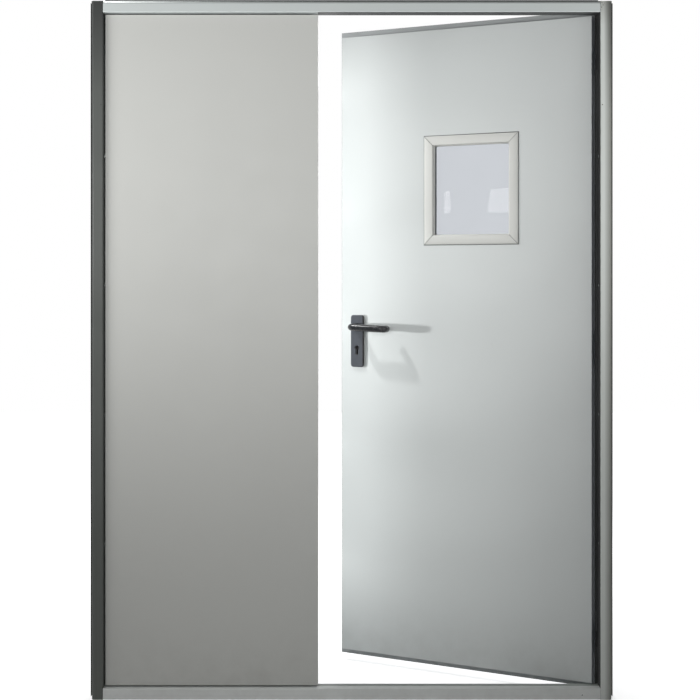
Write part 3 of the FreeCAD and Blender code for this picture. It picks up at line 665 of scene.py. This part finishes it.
class DOOR_OT_leaves(DoorOperator, bpy.types.Operator):
    """Paint the skins of both leaves, and finish the edge channels and the filling"""

    bl_idname = "door.leaves"
    bl_label = "Leaves"

    def execute(self, context):
        paint = context.scene.door_paint
        channel = zinc_coat("channel_zinc", context.scene.door_fittings.zinc)
        dress("inactive_push_skin", powder_coat("left_leaf_paint", paint.left_leaf))
        dress("active_push_skin", powder_coat("right_leaf_paint", paint.right_leaf, [
            (self.hinge_edge, paint.edge)]))
        dress("inactive_pull_skin", powder_coat("left_leaf_coat", paint.leaf_back))
        # The lip's inner side is painted darker as shade, and near black as shade in the gap beside the
        # hinges.
        dress("active_pull_skin", powder_coat("right_leaf_coat", paint.leaf_back, [
            (self.lip_inside, paint.lip_painted_shade), (self.lip_by_hinges, paint.dark_painted_shade)]))
        # The filling round the lock is painted nearly black as shade where the keyhole shows it.
        dress("active_core", paper_finish("paper_by_the_lock", self.by_the_lock))
        dress("inactive_core", paper_finish("paper_honeycomb"))
        for leaf in ("active", "inactive"):
            for place in ("bottom", "top"):
                dress("%s_%s_channel" % (leaf, place), channel)
        return {"FINISHED"}

    def hinge_edge(self, graph):
        """1 on the folded edge beside the hinges, which is coated sheet without paint."""
        edge = shut_box("active_push_skin")[1].x
        return self.shut_distance(graph, ACROSS) > edge - EDGE_REACH

    def lip_inside(self, graph):
        """1 on the pull skin's inner side, which shows only on its lip."""
        return self.shut_distance(graph, -PULL) > LIP_REACH - leaf_face(1)

    def lip_by_hinges(self, graph):
        """1 on the inner side of the lip that shows in the gap beside the hinges."""
        return self.hinge_edge(graph) * self.lip_inside(graph)

    def by_the_lock(self, graph):
        """1 round the lock case, where the filling seen through the keyhole is painted nearly black as
        shade.
        """
        low, high = shut_box("lock_case")
        across, height = self.shut_distance(graph, ACROSS), graph.along("Z")
        past_low = (across > low.x - LOCK_SHADE_MARGIN) * (height > low.z - LOCK_SHADE_MARGIN)
        past_side, past_top = across > high.x + LOCK_SHADE_MARGIN, height > high.z + LOCK_SHADE_MARGIN
        return past_low * (1 - past_side) * (1 - past_top)


# One hinge: the parts of its barrel and where they begin, its radii, and the leaf's wing.
BARREL = 103 * MM
LOW_KNUCKLE = 22.5 * MM
TOP_KNUCKLE = 20.5 * MM
CAP = 10.5 * MM
CAP_FOOT = BARREL - CAP
UPPER_FOOT = BARREL - CAP - TOP_KNUCKLE
KNUCKLE_GAP = 0.6 * MM
RING_FOOT = LOW_KNUCKLE + KNUCKLE_GAP
RING_TOP = UPPER_FOOT - KNUCKLE_GAP
PIN_RADIUS = 5 * MM
BORE_RADIUS = 5.1 * MM
WING_THICKNESS = 2.5 * MM
WING_DEPTH = 34 * MM
HALF_WING = 48 * MM


class DOOR_OT_hinges(DoorOperator, bpy.types.Operator):
    """Turn the barrels, caps and washers of the six hinges"""

    bl_idname = "door.hinges"
    bl_label = "Hinges"

    def execute(self, context):
        fittings = context.scene.door_fittings
        zinc = zinc_coat("hinge_zinc", fittings.zinc, gloss=0.30)
        # The right arms' side that shows beside the leaf is painted nearly black as shade.
        arm_zinc = zinc_coat("arm_zinc", fittings.zinc, gloss=0.30, mask=self.arm_front_shade)
        brass = bare_steel("washer_brass", fittings.brass)
        dark = rubber_finish("screw_socket", fittings.rubber)
        self.build(fittings.ring_steps, "left", "inactive_leaf", zinc, zinc, brass, dark)
        self.build(fittings.ring_steps, "right", "active_leaf", zinc, arm_zinc, brass, dark)
        return {"FINISHED"}

    def build(self, steps, side, leaf, zinc, arm_zinc, brass, dark):
        """The three hinges of one leaf, at the ends and the middle of the CAD barrels."""
        low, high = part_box(side + "_hinges_frame_side")
        radius = (high.x - low.x) / 2
        axis_x, axis_y = JOINTS[leaf + "_hinge"]["pos_m"][:2]
        pins, rings, washers, sockets = (bmesh.new() for part in range(4))
        for middle in (low.z + BARREL / 2, (low.z + high.z) / 2, high.z - BARREL / 2):
            foot = Vector((axis_x, axis_y, middle - BARREL / 2))
            self.add_frame_side(pins, side, foot, radius, steps)
            add_ring_band(rings, foot, BORE_RADIUS, radius, RING_FOOT, RING_TOP, steps)
            self.add_leaf_wing(rings, side, foot)
            add_ring_band(washers, foot, BORE_RADIUS, radius - 0.15 * MM, LOW_KNUCKLE + 0.02 * MM,
                          RING_FOOT - 0.02 * MM, steps)
            self.add_grub_screw(sockets, foot, radius)
        swing = side == "right"
        pin_piece = new_piece(side + "_hinge_pins", pins, "frame", zinc)
        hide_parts(side + "_hinges_frame_side")
        ring_piece = new_piece(side + "_hinge_knuckles", rings, leaf, arm_zinc, swing=swing)
        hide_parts(side + "_hinges_leaf_side")
        washer_piece = new_piece(side + "_hinge_washers", washers, leaf, brass, swing=swing)
        socket_piece = new_piece(side + "_hinge_grub_screws", sockets, leaf, dark, swing=swing)

    def add_frame_side(self, shape, side, foot, radius, steps):
        """The frame's two knuckles with pin and cap, and the webs that carry them."""
        edge = 1.2 * MM
        nick = 0.3 * MM
        half_web = 3 * MM
        web_nick = 0.5 * MM
        low_knuckle = [(radius - edge, 0), (radius - 0.3 * edge, 0.3 * edge), (radius, edge),
                       (radius, LOW_KNUCKLE - nick), (radius - nick, LOW_KNUCKLE)]
        pin = [(PIN_RADIUS, LOW_KNUCKLE - 1 * MM), (PIN_RADIUS, UPPER_FOOT + 1 * MM)]
        top_knuckle = [(radius - nick, UPPER_FOOT), (radius, UPPER_FOOT + nick),
                       (radius, CAP_FOOT - nick), (radius - 0.5 * MM, CAP_FOOT)]
        cap = [(radius - 0.8 * MM, CAP_FOOT), (radius - 0.8 * MM, CAP_FOOT + 0.5 * MM),
               (radius - 0.1 * MM, CAP_FOOT + 0.6 * MM), (radius - 0.1 * MM, BARREL - edge),
               (radius - 0.4 * edge, BARREL - 0.4 * edge), (radius - edge, BARREL),
               (radius * 0.5, BARREL), (radius * 0.46, BARREL - 0.8 * MM), (0, BARREL - 0.8 * MM)]
        for profile in (low_knuckle, pin, top_knuckle, cap):
            add_lathe(shape, foot, profile, steps)
        for base, top in ((0, LOW_KNUCKLE), (UPPER_FOOT, CAP_FOOT)):
            add_box(shape, (foot.x - half_web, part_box("jamb_" + side)[1].y, foot.z + base + web_nick),
                    (foot.x + half_web, foot.y - PIN_RADIUS, foot.z + top - web_nick))

    def add_leaf_wing(self, shape, side, foot):
        """The arm that carries the leaf's knuckle, and the plate that it is part of."""
        leaf, box, way = ("inactive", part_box, -1) if side == "left" else ("active", shut_box, 1)
        edge = way * max(way * corner.x for corner in box(leaf + "_push_skin"))
        cover_low, cover_high = (corner.y for corner in box(leaf + "_pull_skin"))
        inner = edge - way * WING_THICKNESS
        left, right = sorted((inner, foot.x - way * BORE_RADIUS))
        add_box(shape, (left, cover_low, foot.z + RING_FOOT), (right, cover_high, foot.z + RING_TOP))
        left, right = sorted((inner, edge))
        middle = foot.z + BARREL / 2
        add_box(shape, (left, cover_low - WING_DEPTH, middle - HALF_WING),
                (right, cover_low, middle + HALF_WING))

    def add_grub_screw(self, shape, foot, radius):
        """The socket of the screw that holds the pin, on the knuckle's pull side."""
        place = foot + Vector((radius * 0.30, radius * 0.90, (RING_FOOT + RING_TOP) / 2))
        socket = [(1.9 * MM, 0), (1.9 * MM, 0.7 * MM), (1.1 * MM, 0.7 * MM), (1.0 * MM, 0.1 * MM)]
        add_lathe(shape, place, socket, 12, PULL, ACROSS)

    def arm_front_shade(self, graph):
        """1 on the side of a hinge arm that shows beside the leaf, which is painted nearly black as
        shade.
        """
        edge = shut_box("active_push_skin")[1].x
        face = shut_box("active_pull_skin")[0].y
        beside = self.shut_distance(graph, ACROSS) > edge + 0.2 * MM
        return beside * (self.shut_distance(graph, -PULL) > -face - 0.4 * MM)


# Glazing: a bar's width and that of its leg inside the leaf, then the double glass.
BAR_WIDTH = 30 * MM
BAR_LEG = 14 * MM
GLASS_THICKNESS = 4 * MM
SPACER_WIDTH = 7 * MM
SPACER_INSET = 13 * MM


class DOOR_OT_glazing(DoorOperator, bpy.types.Operator):
    """Build the mitred glazing bars, their seals and the double glazing"""

    bl_idname = "door.glazing"
    bl_label = "Glazing"

    def execute(self, context):
        fittings = context.scene.door_fittings
        bars = bar_finish("bar_paint")
        seal = rubber_finish("window_seal", fittings.seal)
        for side, outward in SIDES:
            self.build_bars(fittings.mitre_gap, side, outward, bars, seal)
        self.build_glass()
        return {"FINISHED"}

    def build_bars(self, mitre_gap, side, outward, bars, seal):
        """Bars with a bead against the glass, and a seal round them and under them."""
        low, high = shut_box("window_frame_" + side)
        pane_low, pane_high = shut_box("window_pane")
        skin = leaf_face(outward)
        stand = abs((low.y if outward < 0 else high.y) - skin)
        deep = ((pane_low.y if outward < 0 else pane_high.y) - skin) * outward
        opening_low = (low.x + BAR_WIDTH, low.z + BAR_WIDTH)
        opening_high = (high.x - BAR_WIDTH, high.z - BAR_WIDTH)
        section = [(0.0, deep), (0.0, stand - 1.8 * MM), (1.0 * MM, stand - 0.7 * MM),
                   (2.6 * MM, stand), (BAR_WIDTH - 1.4 * MM, stand),
                   (BAR_WIDTH - 0.4 * MM, stand - 0.5 * MM), (BAR_WIDTH, stand - 1.5 * MM),
                   (BAR_WIDTH, 0.0), (BAR_LEG, 0.0), (BAR_LEG, deep)]
        bead = [(-2.6 * MM, deep), (-2.0 * MM, deep + 1.6 * MM), (0.0, deep + 2.2 * MM), (0.0, deep)]
        shape = bmesh.new()
        add_mitred_frame(shape, section, opening_low, opening_high, skin, outward, mitre_gap)
        add_mitred_frame(shape, bead, opening_low, opening_high, skin, outward)
        frame_piece = new_piece("glazing_bars_" + side, shape, "active_leaf", bars, sharp=50,
                                swing=True)
        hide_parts("window_frame_" + side)
        round_bars = [(BAR_WIDTH, 0.0), (BAR_WIDTH, 1.4 * MM), (BAR_WIDTH + 2.0 * MM, 1.1 * MM),
                      (BAR_WIDTH + 2.6 * MM, 0.0)]
        near, far = 0.6 * MM, BAR_WIDTH - 0.8 * MM
        foot, top = 0.2 * MM, stand - 2.2 * MM
        under_bars = [(near, foot), (near, top), (far, top), (far, foot)]
        shape = bmesh.new()
        for strip in (round_bars, under_bars):
            add_mitred_frame(shape, strip, opening_low, opening_high, skin, outward)
        seal_piece = new_piece("glazing_seal_" + side, shape, "active_leaf", seal, sharp=50,
                               swing=True)

    def build_glass(self):
        """Two sheets of glass with a painted spacer between them."""
        low, high = shut_box("window_pane")
        shape = bmesh.new()
        for near, far in ((low.y, low.y + GLASS_THICKNESS), (high.y - GLASS_THICKNESS, high.y)):
            add_box(shape, (low.x, near, low.z), (high.x, far, high.z))
        pane = new_piece("double_glazing", shape, "active_leaf", glass_finish("window_glass"),
                         bevel=0.4 * MM, swing=True)
        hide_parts("window_pane")
        near, far = 0.1 * MM, high.y - low.y - 2 * GLASS_THICKNESS - 0.1 * MM
        section = [(0.0, near), (0.0, far), (SPACER_WIDTH, far), (SPACER_WIDTH, near)]
        shape = bmesh.new()
        add_mitred_frame(shape, section, (low.x + SPACER_INSET, low.z + SPACER_INSET),
                         (high.x - SPACER_INSET, high.z - SPACER_INSET), low.y + GLASS_THICKNESS, 1)
        spacer = new_piece("glazing_spacer", shape, "active_leaf", bar_finish("spacer_paint"),
                           swing=True)


# Lever: radii of its bar and bends, how far it stands off, reaches, turns back and droops.
LEVER_RADIUS = 11.5 * MM
LEVER_BEND = 13 * MM
LEVER_STAND = 64 * MM
LEVER_REACH = 120 * MM
LEVER_RETURN = 20 * MM
LEVER_DROOP = math.radians(2.2)
BEND_STEPS = 10
# Width of the painted shade on the handle plates' edge that faces the hinges.
PLATE_SHADE_EDGE = 2.2 * MM


class DOOR_OT_handles(DoorOperator, bpy.types.Operator):
    """Sweep both levers and finish the plates and the spindle"""

    bl_idname = "door.handles"
    bl_label = "Handles"

    def execute(self, context):
        fittings = context.scene.door_fittings
        # The plates' edge towards the hinges is painted nearly black as shade.
        plate = moulded_black("plate_satin", fittings.plate, 0.5, self.plate_side_shade)
        black = moulded_black("lever_black", fittings.lever, 0.26)
        for side, outward in SIDES:
            dress("handle_plate_" + side, plate)
            self.build_lever(fittings, side, outward, black)
        dress("spindle", bare_steel("spindle_steel", fittings.steel))
        return {"FINISHED"}

    def plate_side_shade(self, graph):
        """1 on the edge of the plates that faces the hinges, which is painted nearly black as shade."""
        edge = shut_box("handle_plate_push")[1].x
        return self.shut_distance(graph, ACROSS) > edge - PLATE_SHADE_EDGE

    def build_lever(self, fittings, side, outward, black):
        """A round bar: out of the plate, along the leaf and back, with a rounded end."""
        steps = fittings.ring_steps
        curve = fittings.lever_round
        low, high = shut_box("spindle")
        root = Vector(((low.x + high.x) / 2, leaf_face(outward), (low.z + high.z) / 2))
        out = PULL * outward
        side_way = Vector((math.cos(LEVER_DROOP), 0, -math.sin(LEVER_DROOP)))
        up = Vector((math.sin(LEVER_DROOP), 0, math.cos(LEVER_DROOP)))
        bend, straight = LEVER_BEND, LEVER_STAND - LEVER_BEND
        quarter = [math.pi / 2 * step / BEND_STEPS for step in range(1, BEND_STEPS + 1)]
        path = [(0.0, 0.0, 0.0), (0.0, straight, 0.0)]
        path += [(bend - bend * math.cos(turn), straight + bend * math.sin(turn), turn)
                 for turn in quarter]
        path += [(LEVER_REACH - bend + bend * math.sin(turn), straight + bend * math.cos(turn),
                  math.pi / 2 + turn) for turn in [0.0] + quarter]
        path.append((LEVER_REACH, straight - LEVER_RETURN + curve, math.pi))
        rings = []
        for along, away, heading in path:
            ahead = side_way * math.sin(heading) + out * math.cos(heading)
            centre = root + side_way * along + out * away
            rings.append(ring_of(centre, ahead.cross(up), up, LEVER_RADIUS, steps))
        for turn in quarter[::2]:
            away = straight - LEVER_RETURN + curve - curve * math.sin(turn)
            centre = root + side_way * LEVER_REACH + out * away
            radius = LEVER_RADIUS - curve + curve * math.cos(turn)
            rings.append(ring_of(centre, (-out).cross(up), up, radius, steps))
        shape = bmesh.new()
        add_rings(shape, rings)
        lever = new_piece("lever_bar_" + side, shape, "lever", black, sharp=60, swing=True)
        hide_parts("lever_" + side)


# Lock: how far its screws are from the ends of their plates.
FOREND_SCREW_INSET = 10 * MM
EDGE_SCREW_INSET = 9 * MM


class DOOR_OT_lock(DoorOperator, bpy.types.Operator):
    """Finish the lock, the strike plate and the flush bolts, and add their screws"""

    bl_idname = "door.lock"
    bl_label = "Lock"

    def execute(self, context):
        fittings = context.scene.door_fittings
        steel = bare_steel("lock_steel", fittings.steel)
        edge_plates = ("strike_plate", "flush_bolt_bottom", "flush_bolt_top")
        for node in ("lock_forend", "latch", "dead_bolt") + edge_plates:
            dress(node, steel)
        dress("lock_case", moulded_black("case_lacquer", fittings.lever, 0.6))
        shape = bmesh.new()
        self.add_end_screws(shape, shut_box("lock_forend"), -ACROSS, FOREND_SCREW_INSET)
        screws = new_piece("lock_screws", shape, "active_leaf", steel, sharp=40, swing=True)
        shape = bmesh.new()
        for node in edge_plates:
            self.add_end_screws(shape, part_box(node), ACROSS, EDGE_SCREW_INSET)
        screws = new_piece("edge_screws", shape, "inactive_leaf", steel, sharp=40)
        return {"FINISHED"}

    def add_end_screws(self, shape, box, outward, inset):
        """A screw near each end of an upright plate, in the face that looks outward."""
        low, high = box
        face = low.x if outward.x < 0 else high.x
        for height in (low.z + inset, high.z - inset):
            add_screw(shape, Vector((face, (low.y + high.y) / 2, height)), outward)


class DOOR_OT_seals(DoorOperator, bpy.types.Operator):
    """Build the rubber strips on the frame and at the meeting edge"""

    bl_idname = "door.seals"
    bl_label = "Seals"

    def execute(self, context):
        rubber = rubber_finish("seal_rubber", context.scene.door_fittings.rubber)
        low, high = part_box("frame_gasket")
        width = 10 * MM
        rise = high.y - low.y
        section = [(0.0, 0.0), (0.0, rise * 0.35), (width * 0.18, rise * 0.78),
                   (width * 0.45, rise), (width * 0.75, rise * 0.82), (width * 0.82, rise * 0.4),
                   (width, rise * 0.3), (width, 0.0)]
        shape = bmesh.new()
        add_mitred_frame(shape, section, (low.x + width, low.z + width),
                         (high.x - width, high.z - width), low.y, 1)
        seal = new_piece("frame_seal", shape, "frame", rubber, sharp=50)
        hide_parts("frame_gasket")
        low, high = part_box("meeting_gasket")
        shape = bmesh.new()
        add_bar(shape, section, Vector((high.x, low.y, low.z)), Vector((high.x, low.y, high.z)),
                -ACROSS, PULL)
        seal = new_piece("meeting_seal", shape, "inactive_leaf", rubber, sharp=50)
        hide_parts("meeting_gasket")
        return {"FINISHED"}


# Lamps: name, place, aim, width and height, watts, and a narrow one's spread in degrees.
FRONT_LAMPS = (
    ("front_softbox", (-0.5, -1.9, 1.5), (-0.15, 0.0, 2.7), (0.9, 0.6), 19.5),
    ("left_softbox", (-2.0, -0.8, 1.5), (-0.6, 0.0, 2.7), (0.9, 0.6), 22.5),
    ("right_softbox", (1.7, -0.8, 1.5), (0.51, 0.0, 2.7), (0.9, 0.6), 12.0),
    ("high_lamp", (-0.93, 0.045, 2.53), (0.1, 0.3, 0.6), (0.08, 0.08), 5.8, 100),
)
BACK_LAMP = ("back_softbox", (1.0, 2.9, 2.0), (0.0, 0.0, 1.2), (2.2, 1.6), 62)
# The column of narrow lamps that lights the leaf's free edge: height and watts of each.
SIDE_LAMPS = ((0.35, 0.56), (0.74, 0.64), (1.13, 0.81), (1.52, 0.74), (1.91, 0.56))
SIDE_LAMP_SPREAD = 26


class DOOR_OT_stage(DoorOperator, bpy.types.Operator):
    """Lay the floor, and set the lamps and the camera"""

    bl_idname = "door.stage"
    bl_label = "Stage"

    def execute(self, context):
        scene = context.scene
        stage = scene.door_stage
        scene.view_settings.view_transform = "Standard"
        self.lay_floor(scene, stage)
        self.set_world(scene, stage)
        for lamp in FRONT_LAMPS:
            self.add_lamp(scene, *lamp)
        for height, power in SIDE_LAMPS:
            side_lamp = self.add_lamp(scene, "side_lamp", (-1.5, 0.2, height), (-0.03, 0.38, height),
                                      (0.06, 0.06), power, SIDE_LAMP_SPREAD)
            side_lamp.visible_glossy = False
        self.add_lamp(scene, *BACK_LAMP)
        self.set_camera(scene, stage)
        return {"FINISHED"}

    def lay_floor(self, scene, stage):
        shape = bmesh.new()
        bmesh.ops.create_grid(shape, x_segments=4, y_segments=4, size=stage.floor_size / 2)
        mesh = bpy.data.meshes.new("floor")
        shape.to_mesh(mesh)
        shape.free()
        mesh.materials.append(self.floor_finish(stage))
        floor = bpy.data.objects.new("floor", mesh)
        scene.collection.objects.link(floor)

    def floor_finish(self, stage):
        """Matt white that glows into the white background away from the door."""
        graph = new_material("floor_white")
        seen = self.background_rays(graph)
        cloud = graph.noise(4 * MM, detail=3.0)
        matt = graph.node("ShaderNodeBsdfDiffuse", {}, {
            "Color": graph.mix(cloud * 0.05, screen_colour(240, 240, 240),
                               screen_colour(228, 228, 228))})
        reach = graph.node("ShaderNodeVectorMath", {"operation": "LENGTH"}, {0: graph.place()},
                           output="Value")
        far = graph.ramp(reach / stage.floor_size, [(0.05, 0.62), (0.16, 1.0)])
        glow = graph.node("ShaderNodeEmission", {}, {"Color": (1, 1, 1, 1), "Strength": seen * far})
        both = graph.node("ShaderNodeAddShader", {}, {0: matt, 1: glow})
        graph.node("ShaderNodeOutputMaterial", {}, {"Surface": both})
        return graph.owner

    def background_rays(self, graph):
        """1 for rays from the camera, and for those that gloss or glass sends on."""
        camera, glossy, through = [
            graph.node("ShaderNodeLightPath", output=ray)
            for ray in ("Is Camera Ray", "Is Glossy Ray", "Is Transmission Ray")]
        return (camera + glossy + through).at_most_one()

    def set_world(self, scene, stage):
        """White where the background is seen, and a faint even light elsewhere."""
        scene.world = bpy.data.worlds.new("studio")
        graph = Graph(scene.world)
        seen = self.background_rays(graph)
        shade = graph.node("ShaderNodeBackground", {}, {
            "Color": (1, 1, 1, 1), "Strength": seen * (1 - stage.ambient) + stage.ambient})
        graph.node("ShaderNodeOutputWorld", {}, {"Surface": shade})

    def add_lamp(self, scene, name, place, target, size, power, spread=180):
        lamp = bpy.data.lights.new(name, "AREA")
        lamp.shape = "RECTANGLE"
        lamp.size, lamp.size_y = size
        lamp.energy = power
        lamp.spread = math.radians(spread)
        holder = bpy.data.objects.new(name, lamp)
        holder.location = place
        aim = Vector(target) - Vector(place)
        holder.rotation_euler = aim.to_track_quat("-Z", "Y").to_euler()
        holder.visible_camera = False
        holder.visible_transmission = False
        scene.collection.objects.link(holder)
        return holder

    def set_camera(self, scene, stage):
        camera = bpy.data.cameras.new("camera")
        camera.lens = stage.lens
        camera.shift_x = stage.shift_x
        camera.shift_y = stage.shift_y
        holder = bpy.data.objects.new("camera", camera)
        holder.location = stage.camera_place
        holder.rotation_euler = (math.pi / 2, 0, 0)
        scene.collection.objects.link(holder)
        scene.camera = holder


OPERATORS = (DOOR_OT_frame, DOOR_OT_leaves, DOOR_OT_hinges, DOOR_OT_glazing, DOOR_OT_handles,
             DOOR_OT_lock, DOOR_OT_seals, DOOR_OT_stage)


class DOOR_PT_panel(bpy.types.Panel):
    """The door's sizes and colours, and buttons that dress it piece by piece"""

    bl_idname = "DOOR_PT_panel"
    bl_label = "Steel Utility Door"
    bl_space_type = "VIEW_3D"
    bl_region_type = "UI"
    bl_category = "Door"

    def draw(self, context):
        scene = context.scene
        for settings in (scene.door_paint, scene.door_fittings, scene.door_stage):
            for name in settings.bl_rna.properties.keys():
                if name not in ("rna_type", "name"):
                    self.layout.prop(settings, name)
        for operator in OPERATORS:
            self.layout.operator(operator.bl_idname)


CLASSES = (DoorPaint, DoorFittings, DoorStage) + OPERATORS + (DOOR_PT_panel,)


def register():
    for kind in CLASSES:
        bpy.utils.register_class(kind)
    bpy.types.Scene.door_paint = PointerProperty(type=DoorPaint)
    bpy.types.Scene.door_fittings = PointerProperty(type=DoorFittings)
    bpy.types.Scene.door_stage = PointerProperty(type=DoorStage)


def unregister():
    for name in ("door_stage", "door_fittings", "door_paint"):
        delattr(bpy.types.Scene, name)
    for kind in reversed(CLASSES):
        bpy.utils.unregister_class(kind)


def main():
    register()
    bpy.ops.door.frame()
    bpy.ops.door.leaves()
    bpy.ops.door.hinges()
    bpy.ops.door.glazing()
    bpy.ops.door.handles()
    bpy.ops.door.lock()
    bpy.ops.door.seals()
    bpy.ops.door.stage()


if __name__ == "__main__":
    main()
